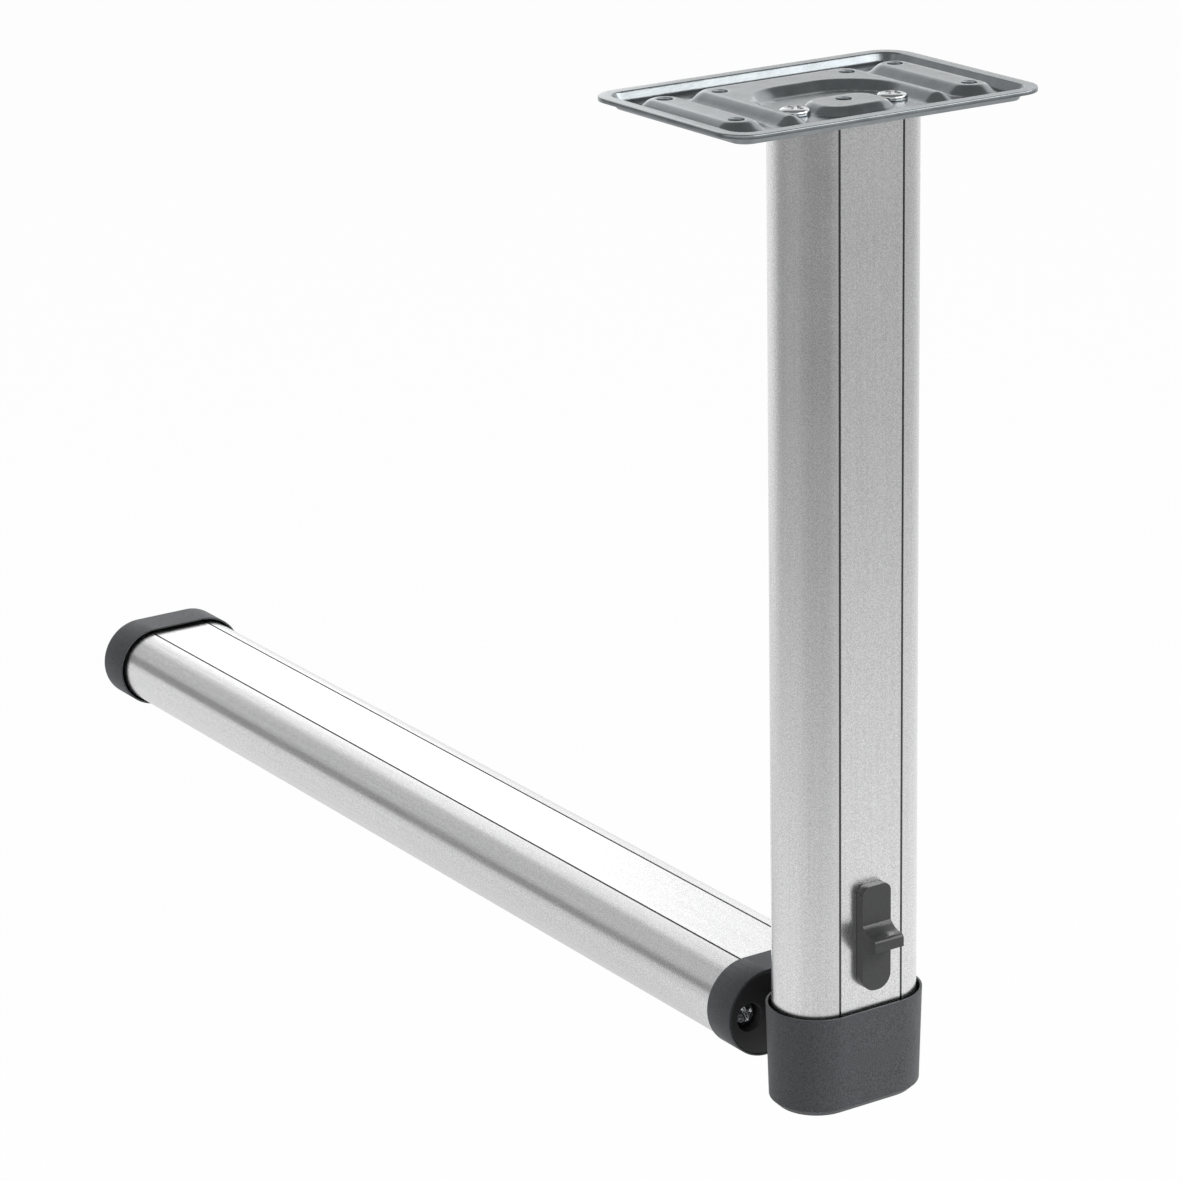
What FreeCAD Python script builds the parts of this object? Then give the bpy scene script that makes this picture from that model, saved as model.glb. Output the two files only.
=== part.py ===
import FreeCAD, Part
import math
import os
import re
import Sketcher

# Folding table leg: two lengths of flat-oval aluminium tube joined by a locking knuckle.
# Row frame: origin at the centre of the four corner screw holes, on the mounting plate's top plane.
# +Z is up, +X along the plate's long side, +Y towards the folded lower leg. Lengths are in mm.

SIZES = {
    # Leg extrusion
    "leg_width": 48.3,
    "leg_depth": 27.0,
    "tube_wall": 1.8,
    "groove_offset": 11.4,
    "groove_width": 0.8,
    "groove_depth": 0.7,
    "port_inset": 6.9,
    "port_bore": 4.2,
    "port_wall": 1.6,
    "port_web": 1.8,
    # Overall layout
    "folded_height": 309.9,
    "lower_length": 419.0,
    "column_setback": 12.4,
    "hinge_setback": 2.5,
    "folded_axis_height": 19.7,
    "knuckle_gap": 1.0,
    # Mounting plate
    "plate_width": 110.6,
    "plate_length": 76.0,
    "plate_corner": 9.8,
    "sheet": 1.2,
    "lip_width": 4.0,
    "pan_depth": 2.6,
    "pan_slope": 1.4,
    "hole_spacing_wide": 82.2,
    "hole_spacing_deep": 35.4,
    "rib_half_width": 4.8,
    "press_angle": 45.0,
    "plate_hole": 4.8,
    "inner_hole_offset": 22.7,
    "inner_hole_depth": 16.7,
    "arch_reach": 10.35,
    "arch_margin": 5.4,
    "arch_leg_width": 3.2,
    "arch_leg_end": 22.0,
    "arch_crest": 11.4,
    "arch_corner": 19.0,
    "island_gap": 6.25,
    "island_front": 9.5,
    "island_back": 6.0,
    "island_drop": 0.3,
    "gasket_thickness": 0.9,
    # Screws
    "screw_head": 9.0,
    "screw_head_height": 2.0,
    "screw_length": 16.0,
    "end_screw_head": 7.6,
    "end_screw_length": 20.0,
    "screw_clear": 0.4,
    "screw_thread_fit": 0.05,
    # Caps, collar and knuckle
    "cap_wall": 1.8,
    "cap_draft": 0.9,
    "cap_height": 32.7,
    "cap_heel_radius": 8.0,
    "cap_edge": 2.3,
    "collar_wall": 0.8,
    "collar_length": 12.0,
    "foot_wall": 1.5,
    "foot_length": 16.2,
    "foot_edge": 2.3,
    "sleeve_fit": 0.1,
    "rim_gap": 1.1,
    "rim_gap_depth": 4.0,
    "foot_gap": 0.9,
    "flange": 7.0,
    "counterbore": 9.0,
    "counterbore_depth": 4.4,
    "plug_gap": 0.95,
    "plug_fit": 0.2,
    "plug_length": 20.0,
    "foot_plug_length": 8.0,
    "cam_radius": 7.5,
    "tongue_half_width": 5.5,
    "notch_width": 8.6,
    "notch_depth": 2.6,
    "slot_clear": 0.5,
    # Hinge pin and bush
    "pin_radius": 3.0,
    "pin_fit": 0.05,
    "pin_end_gap": 0.3,
    "bush_wall": 1.2,
    "bush_fit": 0.02,
    "bush_proud": 0.8,
    # Release slide
    "block_height": 92.0,
    "block_roof": 7.0,
    "bolt_front": 11.2,
    "bolt_nose": 4.0,
    "bolt_fit": 0.3,
    "bolt_lead": 1.0,
    "bolt_shoulder": 15.0,
    "bolt_carriage": 18.0,
    "slide_travel": 7.0,
    "button_width": 10.5,
    "button_length": 34.0,
    "button_bottom": 39.5,
    "button_proud": 3.0,
    "button_fit": 0.1,
    "button_bottom_round": 4.8,
    "button_top_round": 2.8,
    "button_edge": 0.5,
    "hook_top": 21.8,
    "hook_reach": 6.5,
    "hook_tip_rise": 19.2,
    "hook_tip_radius": 1.5,
    "hook_front": 15.2,
    "hook_under": 12.0,
    "stem_width": 6.0,
    "stem_length": 10.0,
    "stem_offset": 12.4,
    "stem_fit": 0.05,
    "window_clear": 0.4,
    "socket_depth": 6.0,
    # Return spring
    "spring_width": 8.0,
    "spring_strip": 0.7,
    "spring_reach": 3.0,
    "spring_offset": 2.3,
    "spring_fit": 0.05,
}

# Lengths that follow from the sizes above, written as expressions of them
DERIVED = {
    "half_width": "leg_width / 2",
    "half_depth": "leg_depth / 2",
    "half_flat": "half_width - half_depth",
    "inner_half_depth": "half_depth - tube_wall",
    "port_offset": "half_width - port_inset",
    "port_outer": "port_bore / 2 + port_wall",
    "port_inner": "port_offset - port_outer",
    "plug_half_width": "port_inner - plug_gap",
    "pin_reach": "port_inner - pin_end_gap",
    "arch_half_width": "port_offset + arch_reach",
    "island_half_width": "port_offset - island_gap",
    "hinge_height": "folded_axis_height + hinge_setback",
    "knuckle_reach": "hinge_height + knuckle_gap",
    "face_setback": "hinge_setback + knuckle_reach",
    "plate_depth": "pan_depth + sheet",
    "gasket_top": "folded_height - plate_depth",
    "tube_top": "gasket_top - gasket_thickness",
    "cap_radius": "half_depth + cap_wall",
    "collar_radius": "half_depth + collar_wall",
    "foot_radius": "half_depth + foot_wall",
    "plug_half_depth": "inner_half_depth - plug_fit",
    "press_inset": "sheet * tan(press_angle * 1deg / 2)",
    "pan_half_width": "plate_width / 2 - lip_width",
    "pan_half_length": "plate_length / 2 - lip_width",
    "pan_corner": "plate_corner - lip_width",
    "press_run": "pan_depth * tan(press_angle * 1deg)",
    "slot_half": "tongue_half_width + bush_proud + bolt_fit / 2",
    "clear_cam": "cam_radius + slot_clear",
    "bolt_low": "hinge_height + cam_radius + bolt_fit",
    "bolt_half_width": "slot_half - bolt_fit / 2",
    "carriage_low": "bolt_low + bolt_shoulder",
    "carriage_top": "carriage_low + bolt_carriage",
    "spring_room": "block_height - block_roof",
    "heel_reach": "cap_radius - cap_draft * (1 - cap_heel_radius / cap_height)",
    "heel_centre": "heel_reach - cap_heel_radius",
    "nose_front": "hinge_setback - bolt_nose",
    "nose_back": "hinge_setback + bolt_nose",
    "button_back": "half_depth + button_fit",
    "button_face": "half_depth + button_proud",
    "hook_tip_centre": "button_face + hook_reach - hook_tip_radius",
    "hook_tip_height": "button_bottom + hook_tip_rise - hook_tip_radius",
    "hook_run": "hook_reach - hook_tip_radius",
    "hook_fall": "hook_top - hook_tip_rise",
    "hook_curve": "(hook_run ^ 2 + hook_fall ^ 2) / (2 * hook_fall)",
    "stem_low": "button_bottom + stem_offset",
    "button_top": "button_bottom + button_length",
    "counterbore_floor": "flange - counterbore_depth",
}

DOC = FreeCAD.newDocument("folding_table_leg")
SHEET = DOC.addObject("Spreadsheet::Sheet", "sizes")
for row, (alias, value) in enumerate(SIZES.items(), start=1):
    SHEET.set(f"A{row}", alias.replace("_", " "))
    SHEET.set(f"B{row}", str(value))
    SHEET.setAlias(f"B{row}", alias)
DOC.recompute()


def cell(expression):
    """Write out a short expression with every size as a reference to its sheet cell."""
    def expand(match):
        word = match.group()
        if word in SIZES:
            return "sizes." + word
        if word in DERIVED:
            return "(" + cell(DERIVED[word]) + ")"
        return word
    return re.sub(r"[a-z]+(?:_[a-z]+)*", expand, str(expression))


def number(expression):
    """Value of a short expression, in mm or degrees."""
    value = SHEET.evalExpression(cell(expression))
    return float(getattr(value, "Value", value))


def negate(expression):
    return f"-({expression})"


# Sketch helpers

def sketch_on(body, name, role, offset="0"):
    """Empty sketch on one of the body's own origin planes, moved along the plane's normal."""
    sketch = body.newObject("Sketcher::SketchObject", name)
    plane = next(item for item in body.Origin.OriginFeatures if item.Role == role)
    sketch.AttachmentSupport = [(plane, "")]
    sketch.MapMode = "FlatFace"
    sketch.setExpression("AttachmentOffset.Base.z", cell(offset))
    return sketch


def pin_point(sketch, geometry, point, x_value, y_value):
    """Hold one point of the sketch at a place given by two expressions."""
    for kind, axis, value in (("DistanceX", -2, x_value), ("DistanceY", -1, y_value)):
        if str(value) == "0":
            sketch.addConstraint(Sketcher.Constraint("PointOnObject", geometry, point, axis))
            continue
        index = sketch.addConstraint(Sketcher.Constraint(kind, -1, 1, geometry, point, number(value)))
        label = f"{kind}_{index}"
        sketch.renameConstraint(index, label)
        sketch.setExpression("Constraints." + label, cell(value))


def circle(sketch, x_value, y_value, radius):
    centre = FreeCAD.Vector(number(x_value), number(y_value), 0)
    shape = Part.Circle(centre, FreeCAD.Vector(0, 0, 1), number(radius))
    geometry = sketch.addGeometry(shape, False)
    pin_point(sketch, geometry, 3, x_value, y_value)
    index = sketch.addConstraint(Sketcher.Constraint("Radius", geometry, number(radius)))
    sketch.renameConstraint(index, f"Radius_{index}")
    sketch.setExpression(f"Constraints.Radius_{index}", cell(radius))


def arc_between(start, end, centre, turn):
    """Arc edge from start to end; turn is 1 for anticlockwise and -1 for clockwise."""
    radius = (start - centre).Length
    first, last = (start, end) if turn > 0 else (end, start)
    angles = [math.atan2(point.y - centre.y, point.x - centre.x) for point in (first, last)]
    ring = Part.Circle(centre, FreeCAD.Vector(0, 0, 1), radius)
    return Part.ArcOfCircle(ring, angles[0], angles[1])


def outline(sketch, corners):
    """Closed outline through the corners. A corner is (x, y), and one that starts an arc
    is (x, y, centre x, centre y, turn)."""
    places = [FreeCAD.Vector(number(corner[0]), number(corner[1]), 0) for corner in corners]
    ends = []
    for index, corner in enumerate(corners):
        start = places[index]
        end = places[(index + 1) % len(corners)]
        if len(corner) == 2:
            geometry = sketch.addGeometry(Part.LineSegment(start, end), False)
            ends.append((geometry, 1, 2))
            continue
        centre = FreeCAD.Vector(number(corner[2]), number(corner[3]), 0)
        geometry = sketch.addGeometry(arc_between(start, end, centre, corner[4]), False)
        ends.append((geometry, 1, 2) if corner[4] > 0 else (geometry, 2, 1))
    for index, corner in enumerate(corners):
        geometry, first, last = ends[index]
        following, following_first, unused = ends[(index + 1) % len(corners)]
        sketch.addConstraint(Sketcher.Constraint("Coincident", geometry, last, following, following_first))
        pin_point(sketch, geometry, first, corner[0], corner[1])
        if len(corner) > 2:
            chord = places[(index + 1) % len(corners)] - places[index]
            along_x = abs(chord.y) >= abs(chord.x)
            kind = "DistanceX" if along_x else "DistanceY"
            value = corner[2] if along_x else corner[3]
            if str(value) == "0":
                axis = -2 if along_x else -1
                sketch.addConstraint(Sketcher.Constraint("PointOnObject", geometry, 3, axis))
                continue
            number_here = number(value)
            held = sketch.addConstraint(Sketcher.Constraint(kind, -1, 1, geometry, 3, number_here))
            sketch.renameConstraint(held, f"Centre_{held}")
            sketch.setExpression(f"Constraints.Centre_{held}", cell(value))


def rectangle(sketch, x_low, x_high, y_low, y_high):
    outline(sketch, [(x_low, y_low), (x_high, y_low), (x_high, y_high), (x_low, y_high)])


def polygon(sketch, radius, sides):
    """Regular polygon about the origin, its first corner half a step above +X."""
    turns = [f"({360 * (index + 0.5) / sides} * 1deg)" for index in range(sides)]
    outline(sketch, [(f"{radius} * cos{turn}", f"{radius} * sin{turn}") for turn in turns])


def stadium(sketch, half_flat, radius):
    """Flat oval about the origin, its flats along x."""
    outline(sketch, [
        (negate(half_flat), negate(radius)),
        (half_flat, negate(radius), half_flat, "0", 1),
        (half_flat, radius),
        (negate(half_flat), radius, negate(half_flat), "0", 1),
    ])


def upright_stadium(sketch, x_value, y_low, y_high, radius):
    """Flat oval about x = x_value, its flats along y and its end centres at y_low and y_high."""
    left = f"{x_value} - ({radius})"
    right = f"{x_value} + ({radius})"
    outline(sketch, [
        (right, y_low),
        (right, y_high, x_value, y_high, 1),
        (left, y_high),
        (left, y_low, x_value, y_low, 1),
    ])


def rounded_rectangle(sketch, half_x, half_y, corner):
    inner_x = f"({half_x} - ({corner}))"
    inner_y = f"({half_y} - ({corner}))"
    outline(sketch, [
        (negate(inner_x), negate(half_y)),
        (inner_x, negate(half_y), inner_x, negate(inner_y), 1),
        (half_x, negate(inner_y)),
        (half_x, inner_y, inner_x, inner_y, 1),
        (inner_x, half_y),
        (negate(inner_x), half_y, negate(inner_x), inner_y, 1),
        (negate(half_x), inner_y),
        (negate(half_x), negate(inner_y), negate(inner_x), negate(inner_y), 1),
    ])


# Feature helpers

def extrude(kind, body, name, sketch, length, backwards=False, taper=None, both=False):
    feature = body.newObject("PartDesign::" + kind, name)
    feature.Profile = sketch
    feature.Reversed = backwards
    if both:
        feature.SideType = "Symmetric"
    feature.setExpression("Length", cell(length))
    if taper is not None:
        feature.setExpression("TaperAngle", cell(taper))
    body.Tip = feature
    return feature


def pad(body, name, sketch, length, **options):
    return extrude("Pad", body, name, sketch, length, **options)


def pocket(body, name, sketch, length, **options):
    return extrude("Pocket", body, name, sketch, length, **options)


def edges_where(shape, test):
    """Names of the shape's edges whose ends and middle all pass the test."""
    found = []
    for index, edge in enumerate(shape.Edges, start=1):
        middle = edge.valueAt((edge.FirstParameter + edge.LastParameter) / 2)
        points = [vertex.Point for vertex in edge.Vertexes] + [middle]
        if all(test(point) for point in points):
            found.append(f"Edge{index}")
    return found


def soften(kind, body, name, test, size):
    """Fillet or chamfer on every edge of the body that passes the test."""
    DOC.recompute()
    base = body.Tip
    names = edges_where(base.Shape, test)
    feature = body.newObject("PartDesign::" + kind, name)
    feature.Base = (base, names)
    feature.setExpression("Radius" if kind == "Fillet" else "Size", cell(size))
    body.Tip = feature
    return feature


def near(value, expression, slack=0.02):
    return abs(value - number(expression)) < slack


NODES = []
SPRING_RUNS = 3
HEAD_SIDES = 12
SHANK_SIDES = 8


def new_body(node):
    body = DOC.addObject("PartDesign::Body", node)
    body.Label = node
    NODES.append(body)
    return body


def place(piece, x_value, y_value, z_value, tilt=0.0):
    """Put a piece in the row frame; tilt turns it about X, in degrees."""
    turn = FreeCAD.Rotation(FreeCAD.Vector(1, 0, 0), tilt)
    piece.Placement = FreeCAD.Placement(FreeCAD.Vector(0, 0, 0), turn)
    piece.setExpression("Placement.Base.x", cell(x_value))
    piece.setExpression("Placement.Base.y", cell(y_value))
    piece.setExpression("Placement.Base.z", cell(z_value))


def on_column(piece, x_value="0", y_value="0", z_value="0", tilt=0.0):
    """Place a piece from the foot of the column, where the standing leg meets the floor."""
    place(piece, x_value, f"{y_value} - column_setback", f"{z_value} - folded_height", tilt)


def on_lower_leg(piece, x_value="0", along="0", tilt=-90.0):
    """Place a piece from the centre of the lower leg's hinge end, its own +Z along the leg."""
    y_value = f"face_setback - column_setback + {along}"
    place(piece, x_value, y_value, "folded_axis_height - folded_height", tilt)


# Pieces

def leg_tube(node, start, length):
    """Flat-oval extrusion with two screw ports on webs and a fine groove by each end of its flats."""
    body = new_body(node)
    section = sketch_on(body, node + "_section", "XY_Plane", start)
    stadium(section, "half_flat", "half_depth")
    pad(body, node + "_blank", section, length)
    hollow = sketch_on(body, node + "_hollow", "XY_Plane", start)
    stadium(hollow, "half_flat", "inner_half_depth")
    pocket(body, node + "_bore", hollow, length, backwards=True)
    webs = sketch_on(body, node + "_webs", "XY_Plane", start)
    for side in ("", "-"):
        near_x = f"{side}port_offset"
        far_x = f"{side}(half_width - tube_wall / 2)"
        low, high = (near_x, far_x) if side == "" else (far_x, near_x)
        rectangle(webs, low, high, "-port_web / 2", "port_web / 2")
    pad(body, node + "_web_pads", webs, length)
    ports = sketch_on(body, node + "_ports", "XY_Plane", start)
    circle(ports, "port_offset", "0", "port_outer")
    circle(ports, "-port_offset", "0", "port_outer")
    pad(body, node + "_port_pads", ports, length)
    bores = sketch_on(body, node + "_port_bores", "XY_Plane", start)
    circle(bores, "port_offset", "0", "port_bore / 2")
    circle(bores, "-port_offset", "0", "port_bore / 2")
    pocket(body, node + "_port_holes", bores, length, backwards=True)
    grooves = sketch_on(body, node + "_groove_lines", "XY_Plane", start)
    for side in ("", "-"):
        for face in ("", "-"):
            middle = f"{side}groove_offset"
            bottom = f"{face}(half_depth - groove_depth)"
            top = f"{face}(half_depth + groove_depth)"
            low, high = (bottom, top) if face == "" else (top, bottom)
            rectangle(grooves, f"{middle} - groove_width / 2", f"{middle} + groove_width / 2", low, high)
    pocket(body, node + "_grooves", grooves, length, backwards=True)
    return body


def mounting_plate():
    """Pressed sheet-steel plate: flat lip, sloped pan, two ribs, an arch and a centre island."""
    body = new_body("mounting_plate")
    lip = sketch_on(body, "lip_outline", "XY_Plane")
    rounded_rectangle(lip, "plate_width / 2", "plate_length / 2", "plate_corner")
    pad(body, "lip", lip, "sheet", backwards=True)
    shell = sketch_on(body, "pan_outline", "XY_Plane")
    rounded_rectangle(shell, "pan_half_width + sheet", "pan_half_length + sheet", "pan_corner + sheet")
    pad(body, "pan", shell, "plate_depth", backwards=True, taper="-atan(pan_slope / pan_depth)")
    hollow = sketch_on(body, "pan_hollow", "XY_Plane")
    rounded_rectangle(hollow, "pan_half_width", "pan_half_length", "pan_corner")
    pocket(body, "pan_floor", hollow, "pan_depth", taper="-atan(pan_slope / pan_depth)")

    raised = {
        "ribs": (rib_outline, "pan_depth"),
        "arch": (arch_outline, "pan_depth"),
        "island": (island_outline, "pan_depth - island_drop"),
    }
    for name, (draw, rise) in raised.items():
        top = sketch_on(body, name + "_form", "XY_Plane", "-pan_depth")
        draw(top, "0")
        pad(body, name, top, rise, taper="-press_angle")
    for name, (draw, rise) in raised.items():
        under = sketch_on(body, name + "_under", "XY_Plane", "-plate_depth")
        draw(under, "press_inset")
        pocket(body, name + "_back", under, rise, backwards=True, taper="-press_angle")

    holes = sketch_on(body, "hole_pattern", "XY_Plane")
    for side in ("", "-"):
        for end in ("", "-"):
            circle(holes, f"{side}hole_spacing_wide / 2", f"{end}hole_spacing_deep / 2", "plate_hole / 2")
        circle(holes, f"{side}inner_hole_offset", "inner_hole_depth", "plate_hole / 2")
        circle(holes, f"{side}port_offset", "-column_setback", "plate_hole / 2")
    circle(holes, "0", "-column_setback", "plate_hole / 2")
    pocket(body, "holes", holes, "plate_depth")
    place(body, "0", "0", "0")
    return body


def rib_outline(sketch, inset):
    """The two ribs that carry the corner holes, at the level of the pan floor."""
    radius = f"(rib_half_width + press_run - {inset})"
    for side in ("", "-"):
        x_value = f"{side}hole_spacing_wide / 2"
        upright_stadium(sketch, x_value, "-hole_spacing_deep / 2", "hole_spacing_deep / 2", radius)


def arch_outline(sketch, inset):
    """The arch over the leg screws: a back band with the inner holes and two rounded legs."""
    grow = f"(press_run - {inset})"
    outer = f"(arch_half_width + {grow})"
    inner = f"(arch_half_width - arch_leg_width - {grow})"
    back = f"(hole_spacing_deep / 2 + arch_margin + {grow})"
    crest = f"(arch_crest - {grow})"
    corner = f"(arch_margin + {grow})"
    foot = "-arch_leg_end"
    middle = "(arch_half_width - arch_leg_width / 2)"
    bend_x = f"({inner} - arch_corner + {grow})"
    bend_y = f"({crest} - arch_corner + {grow})"
    outline(sketch, [
        (outer, foot),
        (outer, f"{back} - {corner}", f"{outer} - {corner}", f"{back} - {corner}", 1),
        (f"{outer} - {corner}", back),
        (negate(f"{outer} - {corner}"), back, negate(f"{outer} - {corner}"), f"{back} - {corner}", 1),
        (negate(outer), f"{back} - {corner}"),
        (negate(outer), foot, negate(middle), foot, 1),
        (negate(inner), foot),
        (negate(inner), bend_y, negate(bend_x), bend_y, -1),
        (negate(bend_x), crest),
        (bend_x, crest, bend_x, bend_y, -1),
        (inner, bend_y),
        (inner, foot, middle, foot, 1),
    ])


def island_outline(sketch, inset):
    """The low dome with the centre hole, between the two leg screws."""
    half = f"(island_half_width - {inset})"
    front = f"(-column_setback - island_front + {inset})"
    back = f"(-column_setback + island_back - {inset})"
    corner = f"(island_back - {inset})"
    outline(sketch, [
        (f"-({half} - {corner})", front),
        (f"{half} - {corner}", front, f"{half} - {corner}", f"{front} + {corner}", 1),
        (half, f"{front} + {corner}"),
        (half, f"{back} - {corner}", f"{half} - {corner}", f"{back} - {corner}", 1),
        (f"{half} - {corner}", back),
        (f"-({half} - {corner})", back, f"-({half} - {corner})", f"{back} - {corner}", 1),
        (f"-({half})", f"{back} - {corner}"),
        (f"-({half})", f"{front} + {corner}", f"-({half} - {corner})", f"{front} + {corner}", 1),
    ])


def plate_gasket():
    """Thin black seat between the plate and the tube end, with the tube's own outline."""
    body = new_body("plate_gasket")
    section = sketch_on(body, "gasket_outline", "XY_Plane")
    stadium(section, "half_flat", "half_depth")
    pad(body, "gasket_sheet", section, "gasket_thickness")
    opening = sketch_on(body, "gasket_opening", "XY_Plane")
    half = "(port_offset + plate_hole / 2)"
    rectangle(opening, f"-{half}", half, "-plate_hole", "plate_hole")
    pocket(body, "gasket_window", opening, "gasket_thickness", backwards=True)
    on_column(body, z_value="tube_top")
    return body


def pan_screw(node, head, length):
    """Self-tapping screw with plain many-sided head and shank; local z = 0 under the head."""
    body = new_body(node)
    disc = sketch_on(body, node + "_head_outline", "XY_Plane")
    polygon(disc, f"({head} / 2)", HEAD_SIDES)
    pad(body, node + "_head", disc, "screw_head_height")
    bar = sketch_on(body, node + "_shank_outline", "XY_Plane")
    polygon(bar, "(port_bore / 2 - screw_thread_fit)", SHANK_SIDES)
    pad(body, node + "_shank", bar, length, backwards=True)
    return body


def upper_tube():
    """Column tube with the knuckle slot in its back wall and the slide window in its front wall."""
    body = leg_tube("upper_tube", "flange", "tube_top - flange")
    slot = sketch_on(body, "knuckle_slot", "XY_Plane", "flange")
    rectangle(slot, "-slot_half", "slot_half", "0", "leg_depth")
    pocket(body, "knuckle_cut", slot, "hinge_height + clear_cam - flange", backwards=True)
    window = sketch_on(body, "slide_window", "XZ_Plane")
    half = "(stem_width / 2 + window_clear)"
    low = "stem_low - window_clear"
    high = "stem_low + stem_length + slide_travel + window_clear"
    rectangle(window, f"-{half}", half, low, high)
    pocket(body, "window_cut", window, "leg_depth", backwards=True)
    on_column(body)
    return body


def lower_tube():
    body = leg_tube("lower_tube", "flange", "lower_length - 2 * flange")
    on_lower_leg(body)
    return body


def end_screw_holes(body, name):
    """Two counterbored screw holes through an end flange, from its outer plane at local z = 0."""
    bores = sketch_on(body, name + "_counterbores", "XY_Plane")
    circle(bores, "port_offset", "0", "counterbore / 2")
    circle(bores, "-port_offset", "0", "counterbore / 2")
    pocket(body, name + "_seats", bores, "counterbore_depth", backwards=True)
    holes = sketch_on(body, name + "_clearance", "XY_Plane")
    circle(holes, "port_offset", "0", "port_bore / 2 + screw_clear")
    circle(holes, "-port_offset", "0", "port_bore / 2 + screw_clear")
    pocket(body, name + "_holes", holes, "flange", backwards=True)


def upper_cap():
    """Grey sleeve that closes the column's foot and leaves room for the knuckle to swing."""
    body = new_body("upper_cap")
    shell = sketch_on(body, "cap_outline", "XY_Plane", "cap_height")
    stadium(shell, "half_flat", "cap_radius")
    pad(body, "cap_shell", shell, "cap_height", backwards=True, taper="-atan(cap_draft / cap_height)")
    soften("Chamfer", body, "cap_foot_edge", lambda point: near(point.z, "0"), "cap_edge")
    bore = sketch_on(body, "cap_bore_outline", "XY_Plane", "cap_height")
    stadium(bore, "half_flat", "half_depth + sleeve_fit")
    pocket(body, "cap_bore", bore, "cap_height - flange")
    mouth = sketch_on(body, "cap_mouth_outline", "XY_Plane", "cap_height")
    stadium(mouth, "half_flat", "half_depth + rim_gap")
    pocket(body, "cap_mouth", mouth, "rim_gap_depth")
    end_screw_holes(body, "cap")
    slot = sketch_on(body, "cap_slot_outline", "XY_Plane")
    rectangle(slot, "-slot_half", "slot_half", "hinge_setback - clear_cam", "leg_depth")
    pocket(body, "cap_slot", slot, "hinge_height + clear_cam", backwards=True)
    heel = sketch_on(body, "cap_heel_outline", "YZ_Plane")
    outline(heel, [
        ("heel_centre", "0", "heel_centre", "cap_heel_radius", 1),
        ("heel_reach", "cap_heel_radius"),
        ("heel_reach + cap_wall", "cap_heel_radius"),
        ("heel_reach + cap_wall", "-cap_edge"),
        ("heel_centre", "-cap_edge"),
    ])
    pocket(body, "cap_heel", heel, "2 * leg_width", both=True)
    on_column(body)
    return body


def lower_collar():
    """Grey ring round the hinge end of the lower leg."""
    body = new_body("lower_collar")
    shell = sketch_on(body, "collar_outline", "XY_Plane")
    stadium(shell, "half_flat", "collar_radius")
    pad(body, "collar_ring", shell, "collar_length")
    bore = sketch_on(body, "collar_bore_outline", "XY_Plane")
    stadium(bore, "half_flat", "half_depth + sleeve_fit")
    pocket(body, "collar_bore", bore, "collar_length", backwards=True)
    on_lower_leg(body)
    return body


def foot_cap():
    """Grey cap on the floor end of the lower leg, with a plug inside the tube."""
    body = new_body("foot_cap")
    shell = sketch_on(body, "foot_outline", "XY_Plane", "lower_length")
    stadium(shell, "half_flat", "foot_radius")
    pad(body, "foot_shell", shell, "foot_length", backwards=True)
    soften("Chamfer", body, "foot_floor_edge", lambda point: near(point.z, "lower_length"), "foot_edge")
    bore = sketch_on(body, "foot_bore_outline", "XY_Plane", "lower_length - foot_length")
    stadium(bore, "half_flat", "half_depth + foot_gap")
    pocket(body, "foot_bore", bore, "foot_length - flange", backwards=True)
    plug = sketch_on(body, "foot_plug_outline", "XY_Plane", "lower_length - flange")
    rectangle(plug, "-plug_half_width", "plug_half_width", "-plug_half_depth", "plug_half_depth")
    pad(body, "foot_plug", plug, "foot_plug_length", backwards=True)
    on_lower_leg(body)
    return body


def hinge_block():
    """Black block in the column's foot: cheeks round the knuckle, a bolt channel and a spring roof."""
    body = new_body("hinge_block")
    blank = sketch_on(body, "block_outline", "XY_Plane", "flange")
    rectangle(blank, "-plug_half_width", "plug_half_width", "-plug_half_depth", "plug_half_depth")
    pad(body, "block_blank", blank, "block_height - flange")
    knuckle = sketch_on(body, "block_knuckle_outline", "XY_Plane", "flange")
    rectangle(knuckle, "-slot_half", "slot_half", "hinge_setback - clear_cam", "leg_depth")
    pocket(body, "block_knuckle", knuckle, "hinge_height + clear_cam - flange", backwards=True)
    nose = sketch_on(body, "block_nose_outline", "XY_Plane", "hinge_height")
    rectangle(nose, "-slot_half", "slot_half", "nose_front - bolt_fit", "nose_back + bolt_fit")
    pocket(body, "block_nose_channel", nose, "carriage_low - hinge_height", backwards=True)
    room = sketch_on(body, "block_room_outline", "XY_Plane", "carriage_low - bolt_fit")
    rectangle(room, "-slot_half", "slot_half", "-leg_depth", "nose_back + bolt_fit")
    pocket(body, "block_room", room, "spring_room - carriage_low + bolt_fit", backwards=True)
    bore = sketch_on(body, "block_pin_outline", "YZ_Plane")
    circle(bore, "hinge_setback", "hinge_height", "pin_radius + pin_fit")
    pocket(body, "block_pin_bore", bore, "leg_width", both=True)
    on_column(body)
    return body


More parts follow.
